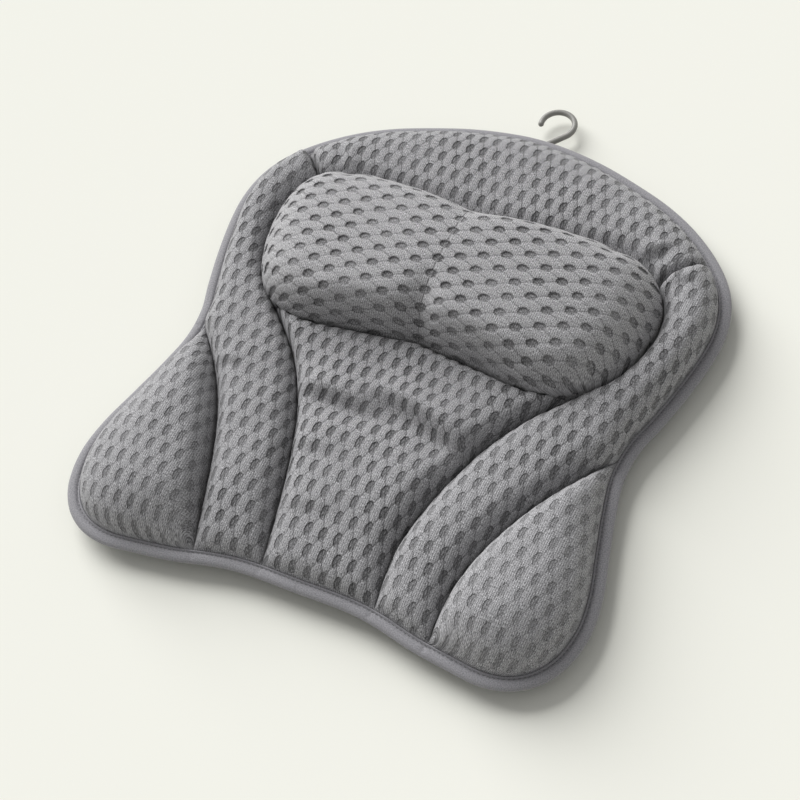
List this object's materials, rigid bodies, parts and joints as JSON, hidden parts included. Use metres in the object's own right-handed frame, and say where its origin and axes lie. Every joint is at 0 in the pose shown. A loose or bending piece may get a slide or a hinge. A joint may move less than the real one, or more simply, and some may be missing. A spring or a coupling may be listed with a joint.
{
  "type": "bath pillow",
  "caption": "Quilted air-mesh bath pillow with flared wings, a raised two-lobed head bolster, a bound edge, suction cups on its back and a swinging hook for hanging it up to dry.",
  "frame": {"origin": "middle of the whole pillow's footprint, level with the rims of the suction cups", "axes": "+X to the right as seen from the front face, +Y from the wings towards the hook, +Z out of the front face"},
  "size_m": [0.3698, 0.4508, 0.0675],
  "materials": {
    "front_mesh": "grey spacer mesh with oval holes",
    "bolster_mesh": "grey spacer mesh with oval holes, stretched tight",
    "filling": "lofty polyester fibre",
    "back_mesh": "fine plain mesh",
    "binding_tape": "smooth woven tape",
    "webbing": "narrow ribbed webbing",
    "hook_plastic": "satin moulded plastic",
    "cup_vinyl": "clear soft vinyl",
    "eyelet_metal": "satin"
  },
  "bodies": {
    "pillow": {"centre_panel": "front_mesh", "centre_fill": "filling", "left_channel_panel": "front_mesh", "left_channel_fill": "filling", "right_channel_panel": "front_mesh", "right_channel_fill": "filling", "left_wing_panel": "front_mesh", "left_wing_fill": "filling", "right_wing_panel": "front_mesh", "right_wing_fill": "filling", "top_band_panel": "front_mesh", "top_band_fill": "filling", "bolster_base_pad": "filling", "bolster_cover_left": "bolster_mesh", "bolster_fill_left": "filling", "bolster_cover_right": "bolster_mesh", "bolster_fill_right": "filling", "back_cover": "back_mesh", "edge_binding": "binding_tape", "hanging_loop": "webbing", "eyelet_top_left": "eyelet_metal", "eyelet_top_right": "eyelet_metal", "eyelet_middle_left": "eyelet_metal", "eyelet_middle_right": "eyelet_metal", "eyelet_bottom_left": "eyelet_metal", "eyelet_bottom_right": "eyelet_metal", "cup_patch_top_left": "binding_tape", "cup_patch_top_right": "binding_tape", "cup_patch_middle_left": "binding_tape", "cup_patch_middle_right": "binding_tape", "cup_patch_bottom_left": "binding_tape", "cup_patch_bottom_right": "binding_tape"},
    "hook": {"hanging_hook": "hook_plastic"},
    "cup_top_left": {"suction_cup_top_left": "cup_vinyl"},
    "cup_top_right": {"suction_cup_top_right": "cup_vinyl"},
    "cup_middle_left": {"suction_cup_middle_left": "cup_vinyl"},
    "cup_middle_right": {"suction_cup_middle_right": "cup_vinyl"},
    "cup_bottom_left": {"suction_cup_bottom_left": "cup_vinyl"},
    "cup_bottom_right": {"suction_cup_bottom_right": "cup_vinyl"}
  },
  "joints": [
    {"name": "hook_swing", "type": "hinge", "parent": "pillow", "child": "hook", "pos_m": [0, 0.17228, 0.00894], "axis": [1, 0, 0], "range_deg": [-120, 0]},
    {"name": "cup_top_left_spin", "type": "hinge", "parent": "pillow", "child": "cup_top_left", "pos_m": [-0.08787, 0.13286, 0], "axis": [0, 0, 1], "continuous": true},
    {"name": "cup_top_right_spin", "type": "hinge", "parent": "pillow", "child": "cup_top_right", "pos_m": [0.08787, 0.13286, 0], "axis": [0, 0, 1], "continuous": true},
    {"name": "cup_middle_left_spin", "type": "hinge", "parent": "pillow", "child": "cup_middle_left", "pos_m": [-0.10911, 0.03491, 0], "axis": [0, 0, 1], "continuous": true},
    {"name": "cup_middle_right_spin", "type": "hinge", "parent": "pillow", "child": "cup_middle_right", "pos_m": [0.10911, 0.03491, 0], "axis": [0, 0, 1], "continuous": true},
    {"name": "cup_bottom_left_spin", "type": "hinge", "parent": "pillow", "child": "cup_bottom_left", "pos_m": [-0.13394, -0.16513, 0], "axis": [0, 0, 1], "continuous": true},
    {"name": "cup_bottom_right_spin", "type": "hinge", "parent": "pillow", "child": "cup_bottom_right", "pos_m": [0.13394, -0.16513, 0], "axis": [0, 0, 1], "continuous": true}
  ]
}
